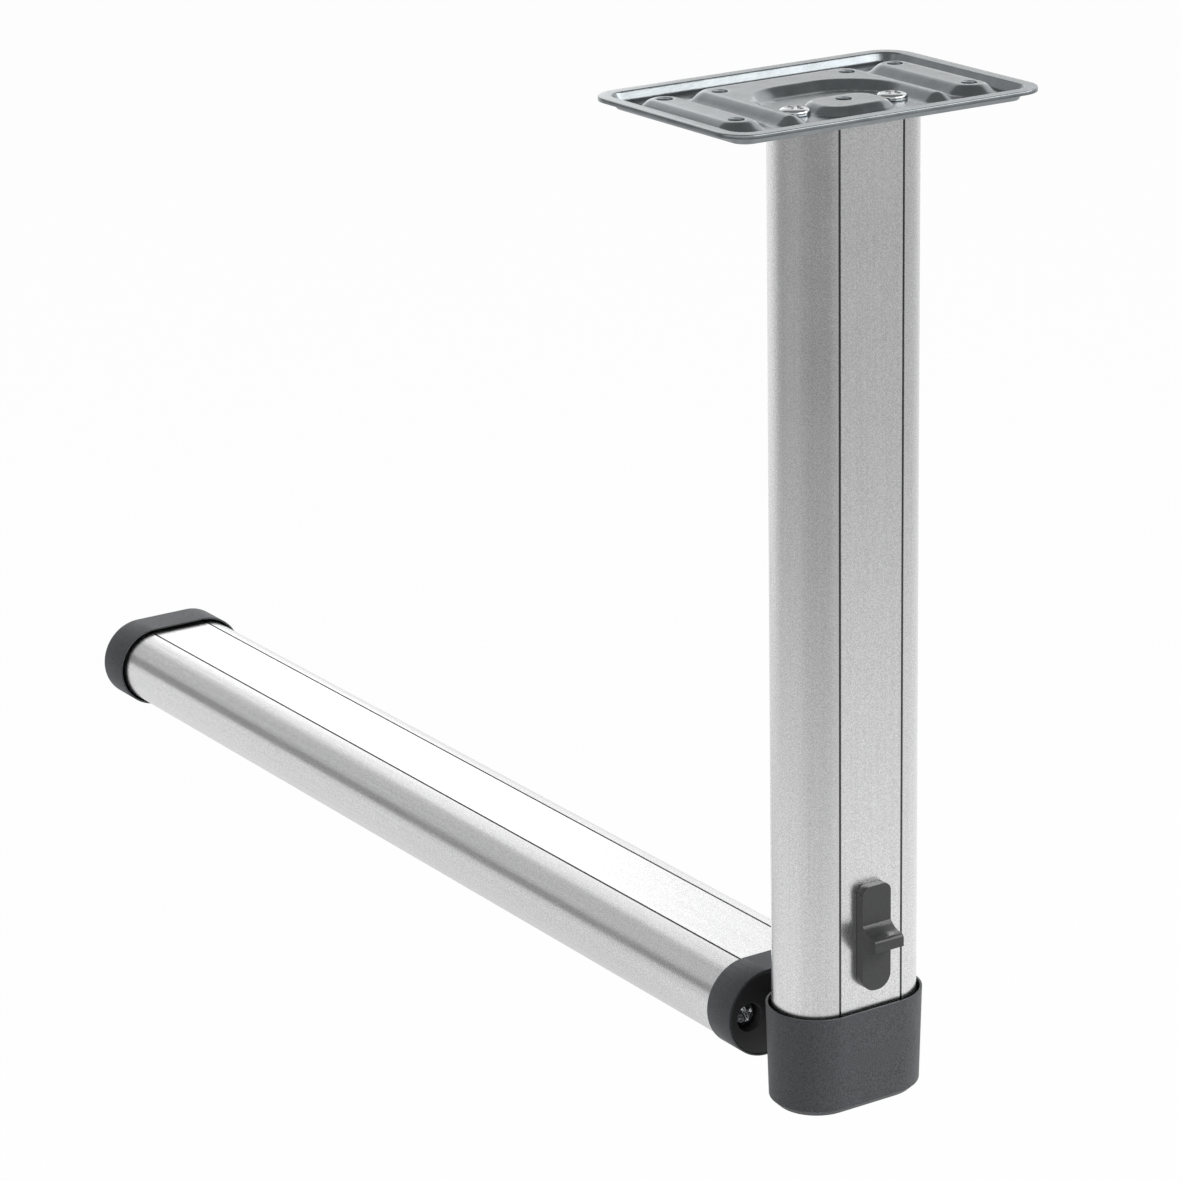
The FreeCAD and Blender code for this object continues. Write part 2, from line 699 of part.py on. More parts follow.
def hinge_tongue():
    """Black knuckle piece: end flange, plug in the lower tube, and a cam tongue with two lock notches."""
    body = new_body("hinge_tongue")
    flange = sketch_on(body, "tongue_flange_outline", "XY_Plane")
    stadium(flange, "half_flat", "half_depth")
    pad(body, "tongue_flange", flange, "flange")
    plug = sketch_on(body, "tongue_plug_outline", "XY_Plane", "flange")
    rectangle(plug, "-plug_half_width", "plug_half_width", "-plug_half_depth", "plug_half_depth")
    pad(body, "tongue_plug", plug, "plug_length")
    arm = sketch_on(body, "tongue_arm_outline", "YZ_Plane")
    low, high = "(-hinge_setback - cam_radius)", "(-hinge_setback + cam_radius)"
    outline(arm, [
        (high, "counterbore_floor"),
        (high, "-knuckle_reach", "-hinge_setback", "-knuckle_reach", -1),
        (low, "-knuckle_reach"),
        (low, "counterbore_floor"),
    ])
    pad(body, "tongue_arm", arm, "2 * tongue_half_width", both=True)
    notches = sketch_on(body, "tongue_notches_outline", "YZ_Plane")
    half = "notch_width / 2"
    rectangle(
        notches,
        f"-hinge_setback - {half}",
        f"-hinge_setback + {half}",
        "-knuckle_reach - cam_radius - slot_clear",
        "-knuckle_reach - cam_radius + notch_depth",
    )
    rectangle(
        notches,
        "-hinge_setback - cam_radius - slot_clear",
        "-hinge_setback - cam_radius + notch_depth",
        f"-knuckle_reach - {half}",
        f"-knuckle_reach + {half}",
    )
    pocket(body, "tongue_notches", notches, "leg_width", both=True)
    bore = sketch_on(body, "tongue_bore_outline", "YZ_Plane")
    circle(bore, "-hinge_setback", "-knuckle_reach", "pin_radius + bush_wall")
    pocket(body, "tongue_bore", bore, "leg_width", both=True)
    end_screw_holes(body, "tongue")
    on_lower_leg(body)
    return body


def hinge_bush():
    """Plain bush through the tongue, a little proud of both flanks to keep the tongue central."""
    body = new_body("hinge_bush")
    barrel = sketch_on(body, "bush_outline", "YZ_Plane")
    circle(barrel, "-hinge_setback", "-knuckle_reach", "pin_radius + bush_wall - bush_fit")
    circle(barrel, "-hinge_setback", "-knuckle_reach", "pin_radius + pin_fit")
    pad(body, "bush_barrel", barrel, "2 * (tongue_half_width + bush_proud)", both=True)
    on_lower_leg(body)
    return body


def hinge_pin():
    """Steel pin through both cheeks, held endways between the tube's two screw ports."""
    body = new_body("hinge_pin")
    section = sketch_on(body, "pin_outline", "YZ_Plane")
    circle(section, "0", "0", "pin_radius")
    pad(body, "pin_bar", section, "2 * pin_reach", both=True)
    on_column(body, "0", "hinge_setback", "hinge_height")
    return body


def lock_bolt():
    """Sliding bolt over the tongue's cam, with a socket for the button's stem."""
    body = new_body("lock_bolt")
    carriage = sketch_on(body, "carriage_outline", "XY_Plane", "carriage_low")
    rectangle(carriage, "-bolt_half_width", "bolt_half_width", "-bolt_front", "nose_back")
    pad(body, "carriage", carriage, "bolt_carriage")
    nose = sketch_on(body, "nose_outline", "YZ_Plane")
    outline(nose, [
        ("nose_front", "bolt_low + bolt_lead"),
        ("nose_front + bolt_lead", "bolt_low"),
        ("nose_back - bolt_lead", "bolt_low"),
        ("nose_back", "bolt_low + bolt_lead"),
        ("nose_back", "carriage_low + bolt_lead"),
        ("nose_front", "carriage_low + bolt_lead"),
    ])
    pad(body, "nose", nose, "2 * bolt_half_width", both=True)
    socket = sketch_on(body, "socket_outline", "XZ_Plane", "bolt_front")
    half = "(stem_width / 2 + stem_fit)"
    rectangle(socket, f"-{half}", half, "stem_low - stem_fit", "stem_low + stem_length + stem_fit")
    pocket(body, "socket", socket, "socket_depth")
    on_column(body)
    return body


def slider_button():
    """Thumb slide on the front face: a flat plate, a hooked finger rest and a stem to the bolt."""
    body = new_body("slider_button")
    plate = sketch_on(body, "button_outline", "XZ_Plane", "button_back")
    half, low, high = "(button_width / 2)", "button_bottom", "button_top"
    small, large = "button_top_round", "button_bottom_round"
    outline(plate, [
        (f"-{half} + {large}", low),
        (f"{half} - {large}", low, f"{half} - {large}", f"{low} + {large}", 1),
        (half, f"{low} + {large}"),
        (half, f"{high} - {small}", f"{half} - {small}", f"{high} - {small}", 1),
        (f"{half} - {small}", high),
        (f"-{half} + {small}", high, f"-{half} + {small}", f"{high} - {small}", 1),
        (f"-{half}", f"{high} - {small}"),
        (f"-{half}", f"{low} + {large}", f"-{half} + {large}", f"{low} + {large}", 1),
    ])
    pad(body, "button_plate", plate, "button_proud - button_fit")
    hook = sketch_on(body, "hook_outline", "YZ_Plane")
    outline(hook, [
        ("-button_face", "button_bottom + hook_top",
         "-hook_tip_centre", "button_bottom + hook_tip_rise + hook_curve", -1),
        ("-hook_tip_centre", "button_bottom + hook_tip_rise",
         "-hook_tip_centre", "hook_tip_height", 1),
        ("-hook_tip_centre - hook_tip_radius", "hook_tip_height"),
        ("-hook_tip_centre - hook_tip_radius", "button_bottom + hook_front"),
        ("-button_face", "button_bottom + hook_under"),
        ("-button_face + button_proud / 2", "button_bottom + hook_under"),
        ("-button_face + button_proud / 2", "button_bottom + hook_top"),
    ])
    pad(body, "hook", hook, "button_width", both=True)
    stem = sketch_on(body, "stem_outline", "XZ_Plane", "button_back")
    rectangle(stem, "-stem_width / 2", "stem_width / 2", "stem_low", "stem_low + stem_length")
    reach = "button_back - bolt_front + socket_depth - stem_fit"
    pad(body, "stem", stem, reach, backwards=True)
    on_column(body)
    return body


def return_spring():
    """Serpentine strip spring between the bolt and the block's roof."""
    body = new_body("return_spring")
    wave = sketch_on(body, "spring_outline", "YZ_Plane")
    outline(wave, serpentine(SPRING_RUNS))
    pad(body, "spring_strip_pad", wave, "spring_width", both=True)
    on_column(body, y_value="-spring_offset")
    return body


def serpentine(runs):
    """Corners of a strip that runs to and fro, its runs joined by half-round bends."""
    gap = f"((spring_room - carriage_top - 2 * spring_fit - {runs} * spring_strip) / {runs - 1})"
    pitch = f"({gap} + spring_strip)"
    start = "(carriage_top + spring_fit)"
    rising = [("-spring_reach", start)]
    falling = []
    for run in range(runs - 1):
        side, outer_first = ("", True) if run % 2 == 0 else ("-", False)
        x_value = f"{side}spring_reach"
        low = f"{start} + {run} * {pitch}"
        high = f"{low} + {pitch}"
        middle = f"{low} + spring_strip + {gap} / 2"
        if outer_first:
            rising += [(x_value, low, x_value, middle, 1), (x_value, f"{high} + spring_strip")]
            bend = [(x_value, high, x_value, middle, -1), (x_value, f"{low} + spring_strip")]
        else:
            rising += [(x_value, f"{low} + spring_strip", x_value, middle, -1), (x_value, high)]
            bend = [(x_value, f"{high} + spring_strip", x_value, middle, 1), (x_value, low)]
        falling = bend + falling
    last = f"{start} + {runs - 1} * {pitch}"
    tip = "spring_reach" if runs % 2 == 1 else "-spring_reach"
    rising += [(tip, last), (tip, f"{last} + spring_strip")]
    return rising + falling + [("-spring_reach", f"{start} + spring_strip")]


def build_leg():
    mounting_plate()
    plate_gasket()
    upper_tube()
    upper_cap()
    hinge_block()
    hinge_pin()
    hinge_bush()
    lock_bolt()
    slider_button()
    return_spring()
    lower_tube()
    hinge_tongue()
    lower_collar()
    foot_cap()
    for side, sign in (("left", "-"), ("right", "")):
        x_value = f"{sign}port_offset"
        plate_screw = pan_screw(f"plate_screw_{side}", "screw_head", "screw_length")
        on_column(plate_screw, x_value, z_value="folded_height - pan_depth")
        cap_screw = pan_screw(f"cap_screw_{side}", "end_screw_head", "end_screw_length")
        on_column(cap_screw, x_value, z_value="counterbore_depth", tilt=180.0)
        tongue_screw = pan_screw(f"tongue_screw_{side}", "end_screw_head", "end_screw_length")
        on_lower_leg(tongue_screw, x_value, "counterbore_depth", tilt=90.0)


def check_document():
    """Stop if any object failed or any piece is not one valid solid."""
    for item in DOC.Objects:
        if "Invalid" in item.State or "Error" in item.State:
            raise RuntimeError(f"{item.Name} failed: {item.State}")
    for piece in NODES:
        shape = piece.Shape
        if shape.isNull() or not shape.isValid() or len(shape.Solids) != 1:
            raise RuntimeError(f"{piece.Label} is not one valid solid")


def write_parts():
    os.makedirs("parts", exist_ok=True)
    for piece in NODES:
        piece.Shape.exportStep(f"parts/{piece.Label}.step")
        box = piece.Shape.BoundBox
        low = f"{box.XMin:.1f} {box.YMin:.1f} {box.ZMin:.1f}"
        high = f"{box.XMax:.1f} {box.YMax:.1f} {box.ZMax:.1f}"
        print(f"{piece.Label}: {low} to {high}, {piece.Shape.Volume:.0f} mm3")


build_leg()
DOC.recompute()
check_document()
write_parts()
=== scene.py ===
import math

import bmesh
import bpy
from mathutils import Matrix, Vector
from mathutils.geometry import delaunay_2d_cdt


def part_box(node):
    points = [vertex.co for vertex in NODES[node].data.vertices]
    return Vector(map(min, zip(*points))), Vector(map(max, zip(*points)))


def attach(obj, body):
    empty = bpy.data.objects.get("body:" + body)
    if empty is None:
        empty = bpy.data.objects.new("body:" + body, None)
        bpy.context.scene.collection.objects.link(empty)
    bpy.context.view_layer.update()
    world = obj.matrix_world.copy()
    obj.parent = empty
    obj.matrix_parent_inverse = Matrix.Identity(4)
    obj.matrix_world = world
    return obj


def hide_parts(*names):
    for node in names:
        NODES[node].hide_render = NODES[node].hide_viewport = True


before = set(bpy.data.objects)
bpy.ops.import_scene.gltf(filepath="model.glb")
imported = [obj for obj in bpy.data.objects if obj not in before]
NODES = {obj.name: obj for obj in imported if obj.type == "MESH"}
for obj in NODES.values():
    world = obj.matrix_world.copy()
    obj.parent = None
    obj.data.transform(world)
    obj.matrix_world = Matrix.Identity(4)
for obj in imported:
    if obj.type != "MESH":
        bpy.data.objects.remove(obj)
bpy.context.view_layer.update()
SCENE = bpy.context.scene
MM = 0.001

# Camera

LENS_PIXELS = 4323.2
IMAGE_PIXELS = 1181.0
SENSOR_MM = 36.0
YAW = 0.5753
PITCH = 0.3189
ROLL = -0.0198
CAMERA_PLACE = Vector((-0.7231, -0.9898, 0.2542))
CLIP_START = 0.05

# Places read from the parts' boxes in model.glb, in metres. The floor lies just below the reach of
# the unfolded leg

COLUMN_LOW, COLUMN_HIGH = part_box("upper_tube")
COLUMN_AXIS = (COLUMN_LOW + COLUMN_HIGH) / 2
TUBE_RADIUS = (COLUMN_HIGH.y - COLUMN_LOW.y) / 2
HALF_FLAT = (COLUMN_HIGH.x - COLUMN_LOW.x) / 2 - TUBE_RADIUS
LEG_AXIS = sum(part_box("lower_tube"), Vector()) / 2
PIN_AXIS = sum(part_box("hinge_pin"), Vector()) / 2
CAP_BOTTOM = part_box("upper_cap")[0].z
CAP_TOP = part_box("upper_cap")[1].z
FOOT_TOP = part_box("foot_cap")[0].y
FOOT_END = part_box("foot_cap")[1].y
FLOOR_GAP = 1.0 * MM
FLOOR = PIN_AXIS.z - (FOOT_END - PIN_AXIS.y) - FLOOR_GAP

# Rounded edges of the CAD pieces. A cap's closed end is rounder than its mouth

WELD_GAP = 0.002 * MM
EDGE_ANGLE = math.radians(28.0)
WEIGHED_ANGLE = math.radians(25.0)
MOULDED_EDGE = 0.20 * MM
KNUCKLE_EDGE = 0.30 * MM
BUTTON_EDGE = 0.45 * MM
CAP_END_EDGE = 1.40 * MM
CAP_END_DEPTH = 3.0 * MM
FEW_SEGMENTS = 2
BUTTON_SEGMENTS = 3
CAP_SEGMENTS = 4

# Pressed plate, in mm, with its top plane at z = 0

PLATE_HALF_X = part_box("mounting_plate")[1].x / MM
PLATE_HALF_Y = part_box("mounting_plate")[1].y / MM
SHEET = 1.2
PLATE_CORNER = 9.8
PLATE_EDGE = 0.3
LIP_WIDTH = 4.0
PAN_DEPTH = 2.6
PAN_SLOPE = 1.4
RIM_CREASE = 0.3
SOFT_FOOT = 2.2
CRISP_FOOT = 0.3
CREST_INSET = 1.6
FORM_RUN = 3.97
FORM_POWER = 2.2
HOLE_RADIUS = 2.4
HOLE_EDGE = 0.18
RIB_OFFSET = 41.1
RIB_HALF_LENGTH = 17.7
RIB_HALF_WIDTH = 4.8
INNER_HOLE_X = 22.7
INNER_HOLE_Y = 16.7
SCREW_OFFSET = 17.25
ARCH_HALF_WIDTH = 27.6
ARCH_LEG_WIDTH = 3.2
ARCH_LEG_END = -22.0
ARCH_CREST = 11.4
ARCH_BACK = 23.1
ARCH_ROUND = 5.4
ARCH_CORNER = 19.0
ISLAND_HALF_WIDTH = 11.0
ISLAND_FRONT = 9.5
ISLAND_BACK = 6.0
ISLAND_DROP = 0.3

# The plate's mesh, in mm: rings of points at distances past an edge, and a grid that keeps clear
# of them and is fine beside a crease

FINE_STEP = 0.5
COARSE_STEPS = 4
OUTLINE_STEP = 1.0
CORNER_STEPS = 12
HOLE_SIDES = 40
EDGE_RINGS = (0.0, 0.06, 0.16, PLATE_EDGE)
LIP_RINGS = (-1.0, -0.25, -0.12, 0.0, 0.12, 0.26)
WALL_RINGS = (-0.7, -0.26, -0.12, 0.0, 0.12, 0.25, 0.6)
HOLE_RINGS = (0.0, 0.05, HOLE_EDGE, 0.6)
EDGE_CLEAR = 0.3
WALL_CLEAR = 0.9
HOLE_CLEAR = 0.8
CREASE_INSIDE = 1.4
CREASE_OUTSIDE = 0.8
HOLE_MARGIN = 0.01
POINT_GAP = 0.00001
PLATE_SHARP = math.radians(60.0)

# Pan-head screws, in mm. The solid's head is a 12-sided disc that lies with sides across X, so
# its box's half width over the cosine of half a side's turn is its radius

HEAD_HALF_SIDE = math.radians(15.0)
HEAD_HEIGHT = 2.0
DOME_FALL = 0.36
DOME_POWER = 1.2
BROW_FALL = 0.38
BROW_POWER = 8
HEAD_RIM = 0.16
HEAD_FOOT = 0.985
SHANK_RADIUS = 2.05
SCREW_SIDES = 64
DOME_RINGS = 30
SCREW_SHARP = math.radians(50.0)
RECESS_REACH = 2.5
RECESS_HALF_WIDTH = 0.55
RECESS_DEPTH = 1.3
RECESS_END = 0.8
RECESS_SOFT = 0.35
RECESS_TAPER = 0.45
RECESS_TURN = math.radians(20.0)

# Finish. Scales of the noises are per metre, reliefs are in metres, and a rough pair is the
# least and the most roughness

DIE_LINES_ACROSS = 1400.0
DIE_LINES_ALONG = 12.0
# Painted shade: past these depths into a groove the colour darkens to the groove tone below.
GROOVE_START = 0.1 * MM
GROOVE_FULL = 0.35 * MM
ALUMINIUM_DARK = (0.62, 0.62, 0.63)
ALUMINIUM_LIGHT = (0.98, 0.98, 0.985)
GROOVE_PAINTED_SHADE = (0.32, 0.32, 0.325)
ALUMINIUM_ROUGH = (0.22, 0.27)
ALUMINIUM_RELIEF = 0.00002
LINES_SHARE = 0.12
SPECKLE_SHARE = 0.88
# Painted shade: a cap's mouth is coloured black to this depth and within this reach of the tube's
# skin.
MOUTH_DEPTH = 8.0 * MM
SLEEVE_INSIDE = 1.2 * MM
SLEEVE_BLEND = 0.05 * MM
MOUTH_PAINTED_SHADE = (0.006, 0.006, 0.006)
SLATE_DARK = (0.030, 0.032, 0.036)
SLATE_LIGHT = (0.088, 0.092, 0.099)
SLATE_ROUGH = (0.46, 0.56)
SLATE_RELIEF = 0.00010

# Light. Lamps are (name, place, size, watts). Cards are (name, azimuth, elevation, distance,
# width, height, tone), with azimuth 0 along +Y and 90 along +X

SOFT_COLOUR = (0.93, 0.96, 1.0, 1.0)
SOFT_STRENGTH = 0.42
LAMP_AIM = Vector((0.0, 0.15, -0.15))
LAMPS = (
    ("key_light", (1.1, -1.3, 1.0), 0.8, 28.0),
    ("top_light", (0.3, 0.6, 1.8), 1.6, 16.0),
)
CARD_AIM = Vector((0.0, 0.1, -0.15))
CARDS = (
    ("back_card", 33.0, 15.0, 2.28, 1.6, 0.74, 1.6),
    ("left_card", -45.0, 6.0, 2.4, 2.6, 0.6, 0.25),
    ("upper_left_card", -41.5, 29.0, 2.4, 3.2, 1.38, 0.55),
    ("plate_card", 41.0, 14.2, 2.15, 0.52, 0.45, 0.8),
    ("ceiling_card", 0.0, 90.0, 1.3, 2.6, 2.6, 0.26),
    ("front_card", 147.0, 30.0, 2.0, 2.8, 1.0, 3.6),
)

# Floor, and the plane below the object that only reflections see. Its tones are (turn, near, far),
# where the turn is 0.5 towards the camera, less to its left, more to its right and 0 or 1 away

STAGE_REACH = 12.0
FLOOR_COLOUR = (0.85, 0.85, 0.85, 1.0)
FLOOR_ROUGHNESS = 0.9
FLOOR_SPECULAR = 0.1
FLOOR_WHITE_SHARE = 0.97
TONES_NEAR = 0.15
TONES_FAR = 0.85
LOW_TONES = (
    (0.00, 0.80, 1.00),
    (0.15, 0.72, 0.85),
    (0.24, 0.82, 0.34),
    (0.37, 0.82, 0.34),
    (0.45, 0.70, 0.25),
    (0.60, 0.70, 0.24),
    (0.68, 0.88, 0.44),
    (0.80, 0.90, 0.50),
    (1.00, 1.00, 1.00),
)


def make_camera():
    """Camera at the photograph's viewpoint."""
    flat = math.cos(PITCH)
    forward = Vector((math.sin(YAW) * flat, math.cos(YAW) * flat, -math.sin(PITCH)))
    level = Vector((math.cos(YAW), -math.sin(YAW), 0.0))
    upright = level.cross(forward)
    right = level * math.cos(ROLL) + upright * math.sin(ROLL)
    up = upright * math.cos(ROLL) - level * math.sin(ROLL)
    data = bpy.data.cameras.new("camera")
    data.sensor_width = SENSOR_MM
    data.lens = LENS_PIXELS / IMAGE_PIXELS * SENSOR_MM
    data.clip_start = CLIP_START
    camera = bpy.data.objects.new("camera", data)
    turn = Matrix((right, up, -forward)).transposed().to_4x4()
    camera.matrix_world = Matrix.Translation(CAMERA_PLACE) @ turn
    SCENE.collection.objects.link(camera)
    SCENE.camera = camera


# Node helpers

class Nodes:
    """Small helper around one material's node tree."""

    def __init__(self, name):
        self.material = bpy.data.materials.new(name)
        self.material.use_nodes = True
        self.tree = self.material.node_tree
        self.shader = self.tree.nodes["Principled BSDF"]

    def add(self, kind, **settings):
        node = self.tree.nodes.new(kind)
        for key, value in settings.items():
            setattr(node, key, value)
        return node

    def join(self, source, target):
        self.tree.links.new(source, target)

    def value(self, name, number):
        self.shader.inputs[name].default_value = number

    def place(self, scale=(1.0, 1.0, 1.0)):
        """Object coordinates, which are the row frame's metres, stretched by scale."""
        coordinates = self.add("ShaderNodeTexCoord")
        mapping = self.add("ShaderNodeMapping")
        mapping.inputs["Scale"].default_value = scale
        self.join(coordinates.outputs["Object"], mapping.inputs["Vector"])
        return mapping.outputs["Vector"]

    def noise(self, vector, scale, detail, rough):
        node = self.add("ShaderNodeTexNoise")
        node.inputs["Scale"].default_value = scale
        node.inputs["Detail"].default_value = detail
        node.inputs["Roughness"].default_value = rough
        self.join(vector, node.inputs["Vector"])
        return node.outputs["Fac"]

    def math(self, operation, first, second):
        node = self.add("ShaderNodeMath", operation=operation)
        for socket, source in zip(node.inputs, (first, second)):
            if isinstance(source, float):
                socket.default_value = source
            else:
                self.join(source, socket)
        return node.outputs["Value"]

    def span(self, source, low, high, start=0.25, stop=0.75):
        """Map a source between start and stop onto low to high."""
        node = self.add("ShaderNodeMapRange")
        node.inputs["From Min"].default_value = start
        node.inputs["From Max"].default_value = stop
        node.inputs["To Min"].default_value = low
        node.inputs["To Max"].default_value = high
        self.join(source, node.inputs["Value"])
        return node.outputs["Result"]

    def colours(self, source, dark, light, start=0.25, stop=0.75):
        node = self.add("ShaderNodeValToRGB")
        node.color_ramp.elements[0].position = start
        node.color_ramp.elements[0].color = (*dark, 1.0)
        node.color_ramp.elements[1].position = stop
        node.color_ramp.elements[1].color = (*light, 1.0)
        self.join(source, node.inputs["Fac"])
        return node.outputs["Color"]

    def bump(self, source, distance, strength, under=None):
        node = self.add("ShaderNodeBump")
        node.inputs["Distance"].default_value = distance
        node.inputs["Strength"].default_value = strength
        self.join(source, node.inputs["Height"])
        if under is not None:
            self.join(under, node.inputs["Normal"])
        return node.outputs["Normal"]

    def axis(self, name):
        """One of the row frame's coordinates, in metres."""
        split = self.add("ShaderNodeSeparateXYZ")
        self.join(self.place(), split.inputs["Vector"])
        return split.outputs[name]

    def reach(self, centre, across):
        """Distance from the tube's flat-oval core line, which its skin keeps at one radius."""
        end = self.math("SUBTRACT", self.math("ABSOLUTE", self.axis("X"), 0.0), HALF_FLAT)
        end = self.math("MAXIMUM", end, 0.0)
        side = self.math("SUBTRACT", self.axis(across), getattr(centre, across.lower()))
        end_square = self.math("MULTIPLY", end, end)
        side_square = self.math("MULTIPLY", side, side)
        return self.math("SQRT", self.math("ADD", end_square, side_square), 0.0)

    def blend(self, factor, first, second):
        """First colour at factor 0, second at 1. Either is a socket or three numbers."""
        node = self.add("ShaderNodeMix", data_type="RGBA")
        self.join(factor, node.inputs["Factor"])
        for name, source in (("A", first), ("B", second)):
            if isinstance(source, tuple):
                node.inputs[name].default_value = (*source, 1.0)
            else:
                self.join(source, node.inputs[name])
        return node.outputs["Result"]

    def moulding(self):
        """Fine spark-eroded grain and wide soft patches of moulded plastic."""
        grain = self.noise(self.place(), scale=2200.0, detail=3.0, rough=0.65)
        patches = self.noise(self.place(), scale=60.0, detail=3.0, rough=0.5)
        return grain, patches

    def finish(self, colour, roughness, normal):
        self.join(colour, self.shader.inputs["Base Color"])
        self.join(roughness, self.shader.inputs["Roughness"])
        self.join(normal, self.shader.inputs["Normal"])
        return self.material


# Materials

def aluminium(name, stretch, centre, across):
    """Satin anodised extrusion: a fine speckle over faint die lines, and painted shade, a darker
    colour, down in its grooves.
    """
    m = Nodes(name)
    lines = m.noise(m.place(stretch), scale=1.0, detail=3.0, rough=0.6)
    speckle = m.noise(m.place(), scale=2600.0, detail=3.0, rough=0.7)
    clouds = m.noise(m.place(), scale=28.0, detail=2.0, rough=0.5)
    m.value("Metallic", 1.0)
    line_part = m.math("MULTIPLY", lines, LINES_SHARE)
    mixed = m.math("ADD", line_part, m.math("MULTIPLY", speckle, SPECKLE_SHARE))
    skin = m.colours(mixed, ALUMINIUM_DARK, ALUMINIUM_LIGHT, start=0.34, stop=0.66)
    deep = TUBE_RADIUS - GROOVE_FULL
    shallow = TUBE_RADIUS - GROOVE_START
    outside = m.span(m.reach(centre, across), 0.0, 1.0, start=deep, stop=shallow)
    # Painted shade: the colour is darkened down in the grooves, where shade falls.
    colour = m.blend(outside, GROOVE_PAINTED_SHADE, skin)
    normal = m.bump(lines, ALUMINIUM_RELIEF, strength=0.12)
    normal = m.bump(speckle, ALUMINIUM_RELIEF, strength=0.40, under=normal)
    return m.finish(colour, m.span(clouds, *ALUMINIUM_ROUGH), normal)


def zinc(name, dark, light, rough, relief):
    """Bright zinc plating with faint clouds and drawing marks."""
    m = Nodes(name)
    clouds = m.noise(m.place(), scale=110.0, detail=4.0, rough=0.6)
    grain = m.noise(m.place((1.0, 3.0, 1.0)), scale=900.0, detail=3.0, rough=0.6)
    m.value("Metallic", 1.0)
    colour = m.colours(clouds, dark, light)
    return m.finish(colour, m.span(clouds, *rough), m.bump(grain, relief, strength=0.5))


def plastic(name, dark, light, rough, relief):
    """Moulded plastic with a fine grain."""
    m = Nodes(name)
    grain, patches = m.moulding()
    colour = m.colours(grain, dark, light)
    return m.finish(colour, m.span(patches, *rough), m.bump(grain, relief, strength=0.8))


def sleeve_plastic_painted_shade(name, centre, along, first, last):
    """Slate plastic with painted shade: black on the inside of the sleeve's mouth, which lies from
    first to last.
    """
    m = Nodes(name)
    grain, patches = m.moulding()
    across = "Y" if along == "Z" else "Z"
    skin = TUBE_RADIUS + SLEEVE_INSIDE
    reach = m.reach(centre, across)
    outside = m.span(reach, 0.0, 1.0, start=skin - SLEEVE_BLEND, stop=skin + SLEEVE_BLEND)
    depth = m.axis(along)
    past_first = m.math("GREATER_THAN", depth, first)
    within = m.math("MULTIPLY", past_first, m.math("LESS_THAN", depth, last))
    # Painted shade: black inside the mouth, next to the tube, where shade falls in the gap.
    black = m.math("MULTIPLY", within, m.math("SUBTRACT", 1.0, outside))
    slate = m.colours(grain, SLATE_DARK, SLATE_LIGHT, start=0.36, stop=0.64)
    colour = m.blend(black, slate, MOUTH_PAINTED_SHADE)
    roughness = m.span(patches, *SLATE_ROUGH)
    return m.finish(colour, roughness, m.bump(grain, SLATE_RELIEF, strength=1.0))


def make_materials():
    column_lines = (DIE_LINES_ACROSS, DIE_LINES_ACROSS, DIE_LINES_ALONG)
    leg_lines = (DIE_LINES_ACROSS, DIE_LINES_ALONG, DIE_LINES_ACROSS)
    return {
        "column": aluminium("aluminium_column", column_lines, COLUMN_AXIS, "Y"),
        "lower": aluminium("aluminium_lower", leg_lines, LEG_AXIS, "Z"),
        "plate": zinc(
            "zinc_plate", dark=(0.22, 0.24, 0.25), light=(0.34, 0.365, 0.38),
            rough=(0.18, 0.27), relief=0.00003,
        ),
        "screw": zinc(
            "zinc_screw", dark=(0.50, 0.52, 0.53), light=(0.66, 0.68, 0.69),
            rough=(0.12, 0.20), relief=0.00001,
        ),
        "steel": zinc(
            "ground_steel", dark=(0.42, 0.42, 0.43), light=(0.56, 0.56, 0.57),
            rough=(0.25, 0.38), relief=0.00001,
        ),
        "column_cap": sleeve_plastic_painted_shade(
            "slate_plastic_column", COLUMN_AXIS, "Z", CAP_TOP - MOUTH_DEPTH, CAP_TOP
        ),
        "leg_cap": sleeve_plastic_painted_shade(
            "slate_plastic_leg", LEG_AXIS, "Y", FOOT_TOP, FOOT_TOP + MOUTH_DEPTH
        ),
        "slate": plastic(
            "slate_plastic", dark=SLATE_DARK, light=SLATE_LIGHT,
            rough=SLATE_ROUGH, relief=SLATE_RELIEF,
        ),
        "black": plastic(
            "black_plastic", dark=(0.010, 0.010, 0.011), light=(0.022, 0.022, 0.024),
            rough=(0.42, 0.55), relief=0.00005,
        ),
        "slider": plastic(
            "slider_plastic", dark=(0.036, 0.036, 0.037), light=(0.050, 0.050, 0.051),
            rough=(0.20, 0.27), relief=0.00001,
        ),
        "bush": plastic(
            "bush_plastic", dark=(0.62, 0.61, 0.58), light=(0.72, 0.71, 0.68),
            rough=(0.45, 0.55), relief=0.00002,
        ),
    }


# Rounded edges of the CAD pieces

def compared(tree, source, operation, limit):
    """Whether a number in a geometry node tree is past a limit."""
    node = tree.nodes.new("FunctionNodeCompare")
    node.data_type = "FLOAT"
    node.operation = operation
    node.inputs["B"].default_value = limit
    tree.links.new(source, node.inputs["A"])
    return node.outputs["Result"]


